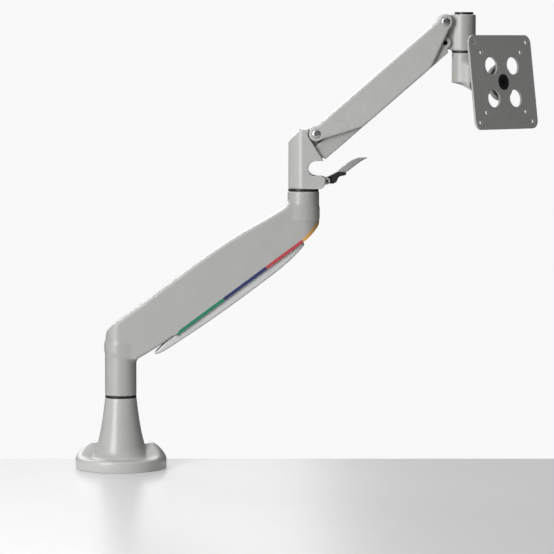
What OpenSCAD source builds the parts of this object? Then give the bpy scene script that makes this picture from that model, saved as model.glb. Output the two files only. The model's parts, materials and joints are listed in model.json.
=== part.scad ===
// Desk-clamped monitor arm: a flared column on a round foot, a cast lower arm that turns on the
// column, and a gas-spring parallelogram arm that carries a tilting mounting plate.
// Origin: centre of the column where the foot meets the desk top. +X runs along the lower arm,
// +Y towards the edge of the desk that the clamp grips, +Z up. Millimetres.

/* [Desk clamp] */
// Thickness of the desk top that the clamp grips
desk_t = 25; // [15:1:35]
// Distance from the column's centre to the desk's edge
edge_y = 80; // [74:1:90]
// Width of the bent steel bracket
bracket_w = 64; // [50:1:70]

/* [Foot and column] */
// Radius of the round foot
foot_r = 58; // [56:1:70]
// Height of the low front rim of the foot
foot_h = 15; // [15:0.5:18]
// Height of the raised ridge round the back of the foot
ridge_h = 35; // [30:1:40]
// Radius of the column's top and of the lower arm's sleeves
sleeve_r = 20; // [18:0.5:20]
// Height of the column's top
column_h = 90; // [80:1:100]

/* [Lower arm] */
// Distance between the lower arm's two vertical axes
reach = 232.4; // [230:0.2:236]
// Radius of the two vertical shafts
shaft_r = 12; // [10:0.5:13]
// Height of the coloured stripe along the lower edge
stripe_h = 4; // [3:0.5:5]

/* [Upper arm] */
// Distance between the pivots of the parallelogram arm
link_l = 215; // [200:1:230]
// Rise of the parallelogram arm above level
lift = 41; // [36:1:42]
// Spacing of the upper and lower pivots
pivot_gap = 26.6; // [26:0.1:28]

/* [Head] */
// Direction the head faces, seen from above
head_yaw = -45; // [-60:1:0]
// Backward tilt of the mounting plate
head_tilt = 7.6; // [0:0.1:10]
// Side of the square mounting plate
plate_w = 118; // [112:1:120]
// Radius of the four-hole patterns' clearance holes
plate_hole_r = 2.4; // [2.2:0.1:2.6]

/* [Hidden] */
$fn = 64;

run = 0.05;                 // radial running clearance
face_gap = 0.1;             // clearance between turning faces

// Foot and clamp
pad_t = 2;
flange_top = 8;
plate_top = 13;
foot_wall = 4;
jaw_top = -desk_t - 30;
jaw_t = 6;
screw_y = 28;
spindle_r = 5;
spindle_top = -desk_t - 3;
knob_top = jaw_top - 27;
plate_screws = [[22, -20], [-22, -20], [22, 38], [-22, 38]];

// Lower arm
arm_bottom = column_h + 3;
post_top = 168;
ring_z = 353;
ring_t = 3;
bush_r = shaft_r + 2.5;
stripe_a = [71, 171.7];     // start of the stripe's centre line
stripe_b = [236.5, 294.4];  // where the stripe turns up round the nose
stripe_dir = (stripe_b - stripe_a) / norm(stripe_b - stripe_a);
stripe_nrm = [-stripe_dir[1], stripe_dir[0]];
function on_stripe(s, up) = stripe_a + s * stripe_dir + up * stripe_nrm;
stripe_len = norm(stripe_b - stripe_a);
stripe_steps = [0, 76, 142.5, stripe_len];  // where each colour starts, and the last ends
nose_end = [251, 307.5];
channel_w = 26;

// Elbow and parallelogram
casting_r = 19.3;
pu = [reach + 16.1, 425.7];             // rear upper pivot (x, z)
pl = pu - [0, pivot_gap];               // rear lower pivot
qu = pu + link_l * [cos(lift), sin(lift)];
ql = qu - [0, pivot_gap];
pin_r = 3;
wall_in = 14.3;
wall_out = 19.3;
boss_r = 9.5;
skirt = 32;                 // depth of the shell's side walls below the pivots
cut_a = 24;                 // slope of the walls' cut-away ends
link_in = 11;
link_out = 13.7;
notch = [372.5, 391.5];
flap_at = [reach + 29.6, 366];

// Gas spring: from the slider in the elbow to the upper shell's front end
gas_e = pu + [-3, -14];
gas_f_arm = [180, -6.5];
function arm_to_frame(p) = pu + [p[0] * cos(lift) - p[1] * sin(lift),
                                 p[0] * sin(lift) + p[1] * cos(lift)];
gas_f = arm_to_frame(gas_f_arm);
gas_len = norm(gas_f - gas_e);
gas_angle = atan2(gas_f[1] - gas_e[1], gas_f[0] - gas_e[0]);

// Head
head_x = qu[0] + 24;
sleeve_lo = ql[1] - 10;
sleeve_hi = qu[1] + 9;
tilt_x = 34;
tilt_z = 487;
disc_x = 24;

// Point at parameter t on the cubic curve a b c d
function cubic(a, b, c, d, t) =
    pow(1 - t, 3) * a + 3 * pow(1 - t, 2) * t * b + 3 * (1 - t) * t * t * c + t * t * t * d;
// The curve's points, without its first one
function curve(a, b, c, d, n = 8) = [for (i = [1:n]) cubic(a, b, c, d, i / n)];

// A plate whose outline lies in the XZ plane, from y0 to y1
module plate_xz(outline, y0, y1)
    translate([0, y1, 0]) rotate([90, 0, 0]) linear_extrude(y1 - y0) polygon(outline);

// The same plate on both sides of the XZ plane
module plate_pair(outline, y0, y1) {
    plate_xz(outline, y0, y1);
    plate_xz(outline, -y1, -y0);
}

// A round bar along Y through (x, z)
module bar_y(p, r, y0, y1)
    translate([p[0], y1, p[1]]) rotate([90, 0, 0]) cylinder(r = r, h = y1 - y0);

module bar_y_pair(p, r, y0, y1) {
    bar_y(p, r, y0, y1);
    bar_y(p, r, -y1, -y0);
}

// A block from one corner to the other
module block(a, b)
    translate(a) cube(b - a);

// A round pin along Z
module bar_z(x, y, r, z0, z1)
    translate([x, y, z0]) cylinder(r = r, h = z1 - z0);

module in_arm()
    translate([pu[0], 0, pu[1]]) rotate([0, -lift, 0]) children();

module in_link()
    translate([pl[0], 0, pl[1]]) rotate([0, -lift, 0]) children();

module in_gas()
    translate([gas_e[0], 0, gas_e[1]]) rotate([0, 90 - gas_angle, 0]) children();

module in_head()
    translate([head_x, 0, 0]) rotate([0, 0, head_yaw]) children();

module in_tilt()
    in_head() translate([tilt_x, 0, tilt_z]) rotate([0, -head_tilt, 0]) children();

// A round bar along the plate's normal, from x0 to x1
module bar_x(r, x0, x1, y = 0, z = 0)
    translate([x0, y, z]) rotate([0, 90, 0]) cylinder(r = r, h = x1 - x0);

// ---------------------------------------------------------------- foot and desk clamp

module desk_pad() color("dimgray")
    union() {
        bar_z(0, 0, foot_r - 5, 0, pad_t);
        block([-bracket_w / 2, 0, 0], [bracket_w / 2, edge_y - 1, pad_t]);
    }

module clamp_bracket() color("slategray")
    difference() {
        union() {
            block([-bracket_w / 2, -40, pad_t], [bracket_w / 2, edge_y + 6, flange_top]);
            block([-bracket_w / 2, edge_y, jaw_top - jaw_t], [bracket_w / 2, edge_y + 6, pad_t]);
            block([-bracket_w / 2, 0, jaw_top - jaw_t], [bracket_w / 2, edge_y, jaw_top]);
        }
        bar_z(0, 0, 9, 0, flange_top + 1);
        bar_z(0, screw_y, 9, jaw_top - jaw_t - 1, jaw_top + 1);
        for (p = plate_screws) bar_z(p[0], p[1], 2.5, 0, flange_top + 1);
    }

module base_plate() color("gray")
    difference() {
        bar_z(0, 0, foot_r - 6, flange_top, plate_top);
        bar_z(0, 0, spindle_r, 0, plate_top + 1);
        for (p = plate_screws) {
            bar_z(p[0], p[1], 2.5, 0, plate_top + 1);
            bar_z(p[0], p[1], 4.5, plate_top - 3, plate_top + 1);
        }
    }

module base_plate_screws() color("silver")
    for (p = plate_screws) {
        bar_z(p[0], p[1], 2.5, pad_t + 0.5, plate_top - 3);
        bar_z(p[0], p[1], 4.5, plate_top - 3, plate_top);
    }

// Radius and height along the column's flare
bell = concat([[40, foot_h]], curve([40, foot_h], [31, foot_h + 4], [25, 42],
                                    [sleeve_r, column_h], 14));

// Section of the foot: rim, raised ridge, the side that hugs the flare, and the hollow below
foot_outline = concat([[foot_r - foot_wall, 0], [foot_r, 0]],
    [[foot_r, 9]], curve([foot_r, 9], [foot_r, 16], [54, 22], [50, 27], 4),
    curve([50, 27], [42, ridge_h + 1], [31.5, ridge_h + 0.5], [30.5, ridge_h - 1.5], 6),
    [for (i = [len(bell) - 1:-1:0]) if (bell[i][1] < ridge_h - 2) bell[i] + [0.3, 0]],
    [[36, foot_h], [36, plate_top + 0.2], [foot_r - foot_wall, plate_top + 0.2]]);

module foot_cover() color("lightgray")
    difference() {
        rotate_extrude() polygon(foot_outline);
        block([-foot_r - 1, -foot_r - 1, foot_h], [foot_r + 1, -foot_r * 0.26, ridge_h + 5]);
        block([-bracket_w / 2 - 0.3, 30, -1], [bracket_w / 2 + 0.3, foot_r + 2, flange_top + 0.3]);
    }

module column_shell() color("lightgray")
    difference() {
        rotate_extrude() polygon(concat([[0, foot_h]], bell, [[0, column_h]]));
        rotate_extrude() polygon(concat([[0, foot_h - 1], [36, foot_h - 1]],
            [for (p = bell) if (p[1] < column_h - 9) p - [4, 0]], [[0, column_h - 9]]));
        bar_z(0, 0, shaft_r, 0, column_h + 1);
    }

module post() color("silver")
    difference() {
        union() {
            bar_z(0, 0, shaft_r, plate_top, post_top);
            bar_z(0, 0, 20, plate_top, plate_top + 5);
        }
        bar_z(0, 0, spindle_r, plate_top - 1, 45);
    }

module post_bolt() color("dimgray")
    union() {
        bar_z(0, 0, spindle_r, flange_top, 44);
        bar_z(0, 0, 8, pad_t + 0.3, flange_top);
    }

module swivel_ring_lower() color("black")
    difference() {
        bar_z(0, 0, sleeve_r, column_h, arm_bottom - face_gap);
        bar_z(0, 0, shaft_r, column_h - 1, arm_bottom + 1);
    }

module clamp_nut() color("gold")
    difference() {
        union() {
            bar_z(0, screw_y, 9, jaw_top - jaw_t, jaw_top);
            bar_z(0, screw_y, 13, jaw_top - jaw_t - 5, jaw_top - jaw_t);
        }
        bar_z(0, screw_y, spindle_r + run, jaw_top - 20, jaw_top + 1);
    }

module clamp_pad() color("gray")
    difference() {
        union() {
            bar_z(0, screw_y, 19, -desk_t - 5, -desk_t - 2);
            bar_z(0, screw_y, 9, -desk_t - 11, -desk_t - 5);
        }
        bar_z(0, screw_y, spindle_r + run, -desk_t - 12, -desk_t - 2.9);
    }

module clamp_pad_rubber() color("dimgray")
    bar_z(0, screw_y, 18.5, -desk_t - 2, -desk_t);

module clamp_spindle() color("silver")
    bar_z(0, screw_y, spindle_r, knob_top - 14, spindle_top);

module clamp_knob() color("dimgray")
    difference() {
        union() {
            bar_z(0, screw_y, 12, knob_top - 6, knob_top);
            bar_z(0, screw_y, 20, knob_top - 18, knob_top - 6);
            for (a = [0:60:300])
                translate([0, screw_y, 0]) rotate([0, 0, a]) bar_z(19, 0, 4, knob_top - 18, knob_top - 6);
        }
        bar_z(0, screw_y, spindle_r, knob_top - 14, knob_top + 1);
    }

// ---------------------------------------------------------------- lower arm

// Lower edge from the front of the column sleeve to the start of the stripe
neck_edge = curve([sleeve_r, 138], [26, 143], [44, 152], on_stripe(0, 0), 6);
// Upper edge, from the elbow sleeve down to the column sleeve
crown_edge = concat([[reach - sleeve_r, 336]],
    curve([reach - sleeve_r, 336], [reach - sleeve_r - 1, 331], [190, 321], [160, 303.5], 6),
    curve([160, 303.5], [135, 289.5], [105, 268], [84, 252.2], 4),
    curve([31.5, 212.7], [10, 197], [2, 192], [-5, 186.5], 4),
    curve([-5, 186.5], [-13, 180.5], [-sleeve_r, 176], [-sleeve_r, 160], 6));
arm_outline = concat([[-sleeve_r, arm_bottom], [sleeve_r, arm_bottom], [sleeve_r, 138]],
    neck_edge, [on_stripe(0, -stripe_h / 2), on_stripe(stripe_len, -stripe_h / 2)],
    [nose_end + [1, -1], [reach + sleeve_r, 310], [reach + sleeve_r, ring_z],
     [reach - sleeve_r, ring_z]], crown_edge);

// The plan of the lower arm: two round ends and flat sides
module arm_plan(z0, z1) {
    bar_z(0, 0, sleeve_r, z0, z1);
    bar_z(reach, 0, sleeve_r, z0, z1);
    block([0, -sleeve_r, 138], [reach, sleeve_r, 336]);
}

// The band that the stripe fills, between two distances along it
function band(s0, s1) = [on_stripe(s0, -stripe_h / 2), on_stripe(s1, -stripe_h / 2),
                         on_stripe(s1, stripe_h / 2), on_stripe(s0, stripe_h / 2)];
nose_band = [on_stripe(stripe_len, -stripe_h / 2), nose_end + [1, -1],
             [reach + sleeve_r, 310], [reach + sleeve_r, 315],
             nose_end + [-4, 1], on_stripe(stripe_len, stripe_h / 2)];
channel = [on_stripe(-20, -6), on_stripe(170, -6), on_stripe(170, 16), on_stripe(150, 40),
           on_stripe(0, 46), on_stripe(-6, 16)];

module lower_arm_shell() color("silver")
    difference() {
        intersection() {
            plate_xz(arm_outline, -sleeve_r - 1, sleeve_r + 1);
            arm_plan(arm_bottom, ring_z);
        }
        plate_xz(channel, -channel_w / 2, channel_w / 2);
        plate_pair(band(0, stripe_len), sleeve_r - 3, sleeve_r + 1);
        plate_xz(nose_band, -sleeve_r - 1, sleeve_r + 1);
        bar_z(0, 0, bush_r, arm_bottom - 1, post_top + 4);
        bar_z(reach, 0, bush_r, ring_z - 37, ring_z + 1);
        bar_y([0, 120], pin_r, bush_r - 3, sleeve_r + 1);
    }

// A stretch of the stripe on both sides of the arm
module stripe(s0, s1)
    plate_pair(band(s0, s1), sleeve_r - 3, sleeve_r);

module stripe_green() color("seagreen") stripe(0, stripe_steps[1]);
module stripe_blue() color("darkslateblue") stripe(stripe_steps[1], stripe_steps[2]);
module stripe_red() color("indianred") stripe(stripe_steps[2], stripe_steps[3]);

module stripe_yellow() color("goldenrod")
    intersection() {
        plate_xz(nose_band, -sleeve_r, sleeve_r);
        arm_plan(arm_bottom, ring_z);
    }

cover_outline = concat([on_stripe(-36, -4.5)],
    curve(on_stripe(-36, -4.5), [52, 146], [66, 157], [76, 163.5], 4),
    curve([76, 163.5], [120, 192], [160, 222], [193, 247], 5),
    curve([193, 247], [215, 264], [226, 274], [238, 289], 4),
    [on_stripe(stripe_len - 4, -stripe_h / 2 - face_gap),
     on_stripe(0, -stripe_h / 2 - face_gap), on_stripe(-34, -2.5)]);

module lower_arm_cover() color("gainsboro")
    difference() {
        plate_xz(cover_outline, -17, 17);
        for (s = [10, 80, 150])
            translate([on_stripe(s, 0)[0], 0, on_stripe(s, 0)[1]])
                rotate([0, 180 - 36.5, 0]) {
                    cylinder(r = 2, h = 30);
                    translate([0, 0, 7]) cylinder(r = 4, h = 30);
                }
    }

module cover_screws() color("silver")
    for (s = [10, 80, 150])
        translate([on_stripe(s, 0)[0], 0, on_stripe(s, 0)[1]])
            rotate([0, 180 - 36.5, 0]) {
                translate([0, 0, -8]) cylinder(r = 2, h = 15);
                translate([0, 0, 7]) cylinder(r = 4, h = 2.5);
            }

module bush(x, z0, z1)
    difference() {
        bar_z(x, 0, bush_r, z0, z1);
        bar_z(x, 0, shaft_r + run, z0 - 1, z1 + 1);
    }

module base_bushes() color("ivory") {
    bush(0, arm_bottom, arm_bottom + 20);
    bush(0, post_top - 20, post_top);
}

module elbow_bushes() color("ivory") {
    bush(reach, ring_z - 36, ring_z - 24);
    bush(reach, ring_z - 12, ring_z);
}

module base_friction_screw() color("dimgray")
    bar_y([0, 120], pin_r, bush_r - 1.5, sleeve_r - 1);

module swivel_ring_upper() color("black")
    difference() {
        bar_z(reach, 0, sleeve_r - 0.5, ring_z, ring_z + ring_t - face_gap);
        bar_z(reach, 0, shaft_r + run, ring_z - 1, ring_z + ring_t + 1);
    }

// ---------------------------------------------------------------- elbow

casting_z = ring_z + ring_t;
casting_x = reach - casting_r;
casting_outline = concat([[casting_x, casting_z], [casting_x, 415.6]],
    curve([casting_x, 415.6], [casting_x + 12, 424], [reach - 3, 431.5], [reach + 3, 431.5], 4),
    [[pu[0] - 8, 431.5], [pu[0] - 10.3, 425.7], [pu[0] - 9.3, 421],
     [pu[0] - 6.2, 415.5], [pu[0] + 8.5, notch[1]], [reach + 14, notch[1]]],
    [for (a = [90:15:270]) [reach + 14 + 9.5 * cos(a), 382 + 9.5 * sin(a)]],
    [[reach + 24, notch[0] - 1], [flap_at[0] - 2, notch[0] - 2],
     [flap_at[0] - 2, flap_at[1] - 4.2], [reach + 20, casting_z]]);
ear_outline = concat([[pu[0] - 14, 419], [pu[0] - 4, 418]],
    [for (a = [-80:20:120]) pu + 8.5 * [cos(a), sin(a)]], [[pu[0] - 14, 431.5]]);

module elbow_casting() color("silver")
    difference() {
        union() {
            difference() {
                intersection() {
                    plate_xz(casting_outline, -casting_r, casting_r);
                    union() {
                        bar_z(reach, 0, casting_r, casting_z, 440);
                        block([reach, -casting_r, casting_z], [reach + 40, casting_r, 440]);
                    }
                }
                block([reach - 6, -14, 396], [reach + 7.6, 14, 425]);
                block([reach + 7.5, -14, 391], [reach + 60, 14, 440]);
            }
            plate_pair(ear_outline, 9.6, 13.9);
            plate_pair([[pu[0] - 14, 419], [pu[0] - 10.5, 419], [pu[0] - 10.5, 431.5],
                        [pu[0] - 14, 431.5]], 9.6, 15);
            bar_y_pair(flap_at, 4.4, 7.3, 12);
            plate_pair([[flap_at[0] - 3, flap_at[1] - 4.2], [flap_at[0], flap_at[1] - 4.3],
                        [flap_at[0], flap_at[1] + 4.3], [flap_at[0] - 3, flap_at[1] + 4.2]], 7.3, 12);
        }
        bar_z(reach, 0, shaft_r, casting_z - 1, 372);
        bar_z(reach, 0, pin_r + run, 390, 440);
        bar_z(reach, 0, 5.2, 427, 440);
        bar_y(pu, pin_r, -20, 20);
        bar_y(pl, pin_r, -20, 20);
        bar_y(flap_at, 1.5, -13, 13);
        block([flap_at[0] - 5.5, -7.2, 350], [flap_at[0] + 10, 7.2, notch[0]]);
    }

module elbow_shaft() color("silver")
    bar_z(reach, 0, shaft_r, ring_z - 35, 372);

module tension_slider() color("dimgray")
    difference() {
        union() {
            block([reach - 4, -9.3, gas_e[1] - 6], [gas_e[0], 9.3, gas_e[1] + 6]);
            bar_y(gas_e, 6, -9.3, 9.3);
        }
        block([gas_e[0] - 8, -4.8, gas_e[1] - 10], [gas_e[0] + 10, 4.8, gas_e[1] + 10]);
        bar_y(gas_e, pin_r, -10, 10);
        bar_z(reach, 0, pin_r, gas_e[1] - 10, gas_e[1] + 10);
    }

module tension_screw() color("silver")
    difference() {
        union() {
            bar_z(reach, 0, pin_r, 398, 427);
            bar_z(reach, 0, 5, 427, 431);
        }
        translate([reach, 0, 428.5]) cylinder(r = 2.9, h = 4, $fn = 6);
    }

module gas_rear_pin() color("silver") bar_y(gas_e, pin_r, -9.3, 9.3);

// A pivot pin with a low head on each side of the arm
module headed_pin(p)
    difference() {
        union() {
            bar_y(p, pin_r, -wall_out - 0.2, wall_out + 0.2);
            bar_y_pair(p, 5, wall_out + 0.2, wall_out + 2);
        }
        for (side = [-1, 1])
            translate([p[0], side * (wall_out + 2), p[1]]) rotate([90, 0, 0])
                cylinder(r = 2.4, h = 3, center = true, $fn = 6);
    }

module rear_upper_pin() color("silver") headed_pin(pu);
module rear_lower_pin() color("silver") bar_y(pl, pin_r, -wall_out + 0.2, wall_out - 0.2);
module flap_pin() color("silver") bar_y(flap_at, 1.5, -12, 12);

// ---------------------------------------------------------------- cable flap

root_outline = [[3, -3.2], [8, -3.6], [12.5, -1], [14.5, 5.5], [24, 7.5], [24.5, 11], [16, 11],
                [8.5, 9], [-1, 4.3]];
leaf_outline = concat([[12, 11.2]], curve([12, 11.2], [22, 19], [30, 27.5], [40, 29], 5),
    curve([40, 29], [45, 29.4], [49, 29], [52.5, 29.3], 2),
    curve([52.5, 29.3], [46, 28], [38, 22], [27, 12.5], 5), [[24, 11.2]]);

module flap_root() color("black")
    difference() {
        union() {
            bar_y(flap_at, 4.2, -7, 7);
            translate([flap_at[0], 0, flap_at[1]]) {
                plate_xz([for (p = root_outline) if (p[0] < 9) p], -7, 7);
                intersection() {
                    plate_xz(root_outline, -11, 11);
                    block([5.5, -12, -10], [40, 12, 20]);
                }
            }
        }
        bar_y(flap_at, 1.5 + run, -12, 12);
    }

module flap_leaf() color("gray")
    translate([flap_at[0], 0, flap_at[1]]) plate_xz(leaf_outline, -12, 12);

// ---------------------------------------------------------------- parallelogram arm

wall_outline = [[-boss_r * sin(cut_a), -boss_r * cos(cut_a)],
    [(skirt - boss_r * cos(cut_a)) / tan(cut_a) - boss_r * sin(cut_a), -skirt],
    [link_l - (skirt - boss_r * cos(cut_a)) / tan(cut_a) + boss_r * sin(cut_a), -skirt],
    [link_l + boss_r * sin(cut_a), -boss_r * cos(cut_a)],
    [link_l, 6.5], [0, 6.5]];

module upper_arm_shell() color("silver")
    in_arm() difference() {
        union() {
            plate_pair(wall_outline, wall_in, wall_out);
            for (s = [0, link_l]) bar_y_pair([s, 0], boss_r, wall_in, wall_out);
            block([16, -wall_out, 4], [link_l - 16, wall_out, 6.5]);
        }
        for (s = [0, link_l]) bar_y([s, 0], 5.5, -20, 20);
        bar_y(gas_f_arm, pin_r, -20, 20);
    }

module upper_arm_bushes() color("ivory")
    in_arm() for (s = [0, link_l])
        difference() {
            bar_y_pair([s, 0], 5.5, wall_in, wall_out);
            bar_y([s, 0], pin_r + run, -20, 20);
        }

module gas_front_pin() color("silver")
    in_arm() bar_y(gas_f_arm, pin_r, -wall_out + 0.2, wall_out - 0.2);

link_outline = [[6, -12], [link_l - 6, -12], [link_l, 6], [0, 6]];

module lower_link() color("silver")
    in_link() difference() {
        union() {
            plate_pair(link_outline, link_in, link_out);
            for (s = [0, link_l]) bar_y_pair([s, 0], 8, link_in, link_out);
            block([20, -link_in - 1, -12], [link_l - 20, link_in + 1, -9.5]);
        }
        for (s = [0, link_l]) bar_y([s, 0], pin_r + run, -20, 20);
    }

// ---------------------------------------------------------------- gas spring

tube_a = 22;
tube_b = 128;
eye_play = 2.1;
eye_r = 7.6;

module gas_cylinder() color("dimgray")
    in_gas() difference() {
        union() {
            rotate([90, 0, 0]) cylinder(r = 6.5, h = 9, center = true);
            bar_z(0, 0, 4, 4, tube_a);
            bar_z(0, 0, 9, tube_a, tube_b);
        }
        rotate([90, 0, 0]) cylinder(r = pin_r + run, h = 20, center = true);
        bar_z(0, 0, 7.5, tube_a + 3, tube_b + 1);
    }

module gas_seal() color("black")
    in_gas() difference() {
        bar_z(0, 0, 7.5, tube_b - 6, tube_b - 1);
        bar_z(0, 0, 4 + run, tube_b - 7, tube_b);
    }

module gas_piston() color("ivory")
    in_gas() bar_z(0, 0, 7.4, 108, 116);

// The rod's eye is larger than its pin, because the spring's closed loop is opened here
module gas_rod() color("silver")
    in_gas() difference() {
        union() {
            bar_z(0, 0, 4, 116, gas_len - 5);
            translate([0, 0, gas_len]) rotate([90, 0, 0]) cylinder(r = eye_r, h = 10, center = true);
        }
        translate([0, 0, gas_len]) rotate([90, 0, 0])
            cylinder(r = pin_r + eye_play, h = 20, center = true);
    }

// ---------------------------------------------------------------- front yoke

module front_yoke() color("silver")
    difference() {
        union() {
            bar_z(head_x, 0, 15, sleeve_lo, sleeve_hi);
            bar_y(qu, 8.5, -13.9, 13.9);
            bar_y(ql, 8, -10.4, 10.4);
            plate_xz([ql + [-7, 0], ql + [0, -8], [head_x - 4, sleeve_lo], [head_x - 4, sleeve_hi],
                      qu + [0, 8.5], qu + [-7, 0]], -10.4, 10.4);
        }
        bar_z(head_x, 0, 10, sleeve_lo - 1, sleeve_hi + 1);
        bar_y(qu, pin_r, -20, 20);
        bar_y(ql, pin_r, -20, 20);
    }

module front_upper_pin() color("silver") headed_pin(qu);
module front_lower_pin() color("silver") bar_y(ql, pin_r, -link_out, link_out);

module front_bush() color("ivory")
    difference() {
        bar_z(head_x, 0, 10, sleeve_lo, sleeve_hi);
        bar_z(head_x, 0, 8 + run, sleeve_lo - 1, sleeve_hi + 1);
    }

module front_ring() color("black")
    difference() {
        bar_z(head_x, 0, 15, sleeve_lo - 2.5, sleeve_lo);
        bar_z(head_x, 0, 8 + run, sleeve_lo - 4, sleeve_lo + 1);
    }

// ---------------------------------------------------------------- head

knuckle_top = sleeve_lo - 2.5 - face_gap;

module head_knuckle() color("silver")
    in_head() difference() {
        union() {
            bar_z(0, 0, 15, tilt_z + 4, knuckle_top);
            plate_xz([[-9, tilt_z + 4], [tilt_x, tilt_z - 11], [tilt_x, tilt_z + 11],
                      [15, tilt_z + 26], [-9, tilt_z + 26]], -9, 9);
            bar_y([tilt_x, tilt_z], 11, -9, 9);
        }
        bar_z(0, 0, 8, tilt_z + 12, knuckle_top + 1);
        bar_y([tilt_x, tilt_z], 5 + run, -12, 12);
    }

module head_shaft() color("silver")
    bar_z(head_x, 0, 8, tilt_z + 12, sleeve_hi + 0.3);

module head_retainer() color("dimgray")
    bar_z(head_x, 0, 12, sleeve_hi + 0.3, sleeve_hi + 3);

module tilt_bracket() color("silver")
    in_tilt() difference() {
        union() {
            bar_y_pair([0, 0], 11, 9.8, 14.5);
            for (side = [[9.8, 14.5], [-14.5, -9.8]])
                block([0, side[0], -11], [disc_x, side[1], 11]);
            bar_x(23, disc_x, disc_x + 5);
        }
        bar_y([0, 0], 5, -20, 20);
        bar_x(6, disc_x - 1, disc_x + 6);
    }

module tilt_bolt() color("silver")
    in_tilt() difference() {
        union() {
            bar_y([0, 0], 5, -14.5, 14.5);
            bar_y_pair([0, 0], 8, 14.5, 18);
        }
        translate([0, 18, 0]) rotate([90, 0, 0]) cylinder(r = 3.5, h = 4, center = true, $fn = 6);
    }

module tilt_washers() color("black")
    in_tilt() difference() {
        bar_y_pair([0, 0], 10.5, 9 + face_gap, 9.8);
        bar_y([0, 0], 5, -20, 20);
    }

module vesa_washer() color("black")
    in_tilt() difference() {
        bar_x(20, disc_x + 5, disc_x + 6 - face_gap);
        bar_x(6 + run, disc_x, disc_x + 8);
    }

plate_x = disc_x + 6;
plate_t = 3;

// The square plate with its two standard four-hole patterns
module vesa_plate() color("silver")
    in_tilt() difference() {
        intersection() {
            block([plate_x, -plate_w / 2, -plate_w / 2], [plate_x + plate_t, plate_w / 2, plate_w / 2]);
            bar_x(plate_w * 0.66, plate_x - 1, plate_x + plate_t + 1);
        }
        bar_x(6, plate_x - 1, plate_x + plate_t + 1);
        bar_x(10, plate_x + 1, plate_x + plate_t + 1);
        for (half = [50, 37.5], y = [-1, 1], z = [-1, 1])
            bar_x(plate_hole_r, plate_x - 1, plate_x + plate_t + 1, y * half, z * half);
        for (a = [0:90:270]) rotate([a + 45, 0, 0])
            bar_x(11, plate_x - 1, plate_x + plate_t + 1, 0, 29);
    }

// The pin that joins the plate to the tilting bracket
module vesa_hub() color("dimgray")
    in_tilt() difference() {
        union() {
            bar_x(6 - run, disc_x - 0.2, plate_x);
            bar_x(6, plate_x, plate_x + 1);
            bar_x(10, plate_x + 1, plate_x + plate_t);
            bar_x(8.5, disc_x - 5, disc_x - 0.2);
        }
        bar_x(3, plate_x + 1, plate_x + plate_t + 1);
    }

desk_pad();
clamp_bracket();
base_plate();
base_plate_screws();
foot_cover();
column_shell();
post();
post_bolt();
swivel_ring_lower();
clamp_nut();
clamp_pad();
clamp_pad_rubber();
clamp_spindle();
clamp_knob();
lower_arm_shell();
lower_arm_cover();
cover_screws();
stripe_green();
stripe_blue();
stripe_red();
stripe_yellow();
base_bushes();
elbow_bushes();
base_friction_screw();
swivel_ring_upper();
elbow_casting();
elbow_shaft();
tension_slider();
tension_screw();
gas_rear_pin();
rear_upper_pin();
rear_lower_pin();
flap_pin();
flap_root();
flap_leaf();
upper_arm_shell();
upper_arm_bushes();
gas_front_pin();
lower_link();
gas_cylinder();
gas_seal();
gas_piston();
gas_rod();
front_yoke();
front_upper_pin();
front_lower_pin();
front_bush();
front_ring();
head_knuckle();
head_shaft();
head_retainer();
tilt_bracket();
tilt_bolt();
tilt_washers();
vesa_washer();
vesa_plate();
vesa_hub();
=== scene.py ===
"""Looks for a desk-clamped monitor arm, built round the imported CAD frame.

Shapes are worked out in millimetres in the frame's own axes and stored in metres. Cast and moulded
pieces are solids of a distance field (negative inside), meshed and shaded from the field itself.
"""

import json
import math

import bmesh
import bpy
import numpy as np
import openvdb as vdb
from mathutils import Matrix, Vector


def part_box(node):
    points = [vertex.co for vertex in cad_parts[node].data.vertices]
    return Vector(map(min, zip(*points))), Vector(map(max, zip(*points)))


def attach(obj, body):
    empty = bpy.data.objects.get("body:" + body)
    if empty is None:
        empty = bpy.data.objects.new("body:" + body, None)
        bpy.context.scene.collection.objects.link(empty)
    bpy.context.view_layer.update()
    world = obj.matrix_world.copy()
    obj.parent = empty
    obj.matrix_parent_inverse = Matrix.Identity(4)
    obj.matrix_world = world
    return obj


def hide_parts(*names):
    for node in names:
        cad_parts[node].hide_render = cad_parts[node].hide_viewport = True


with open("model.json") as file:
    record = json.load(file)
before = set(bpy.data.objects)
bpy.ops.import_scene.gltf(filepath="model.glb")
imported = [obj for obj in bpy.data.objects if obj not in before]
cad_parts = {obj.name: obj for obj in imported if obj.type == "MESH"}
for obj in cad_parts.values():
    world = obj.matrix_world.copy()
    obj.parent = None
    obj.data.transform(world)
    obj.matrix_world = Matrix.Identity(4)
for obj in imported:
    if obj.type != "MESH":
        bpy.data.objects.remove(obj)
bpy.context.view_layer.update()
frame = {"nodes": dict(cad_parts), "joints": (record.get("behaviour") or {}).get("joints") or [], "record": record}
MM = 0.001

# ------------------------------------------------------------------ places, from the frame


def joint_at(name):
    """A joint's place in mm."""
    for joint in frame["joints"]:
        if joint["name"] == name:
            return np.array(joint["pos_m"]) / MM
    raise KeyError(name)


def corners(node):
    """A CAD node's lowest and highest corners in mm."""
    low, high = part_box(node)
    return np.array(low) / MM, np.array(high) / MM


def rot_y(degrees):
    return Matrix.Rotation(math.radians(degrees), 4, "Y")


def rot_z(degrees):
    return Matrix.Rotation(math.radians(degrees), 4, "Z")


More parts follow.
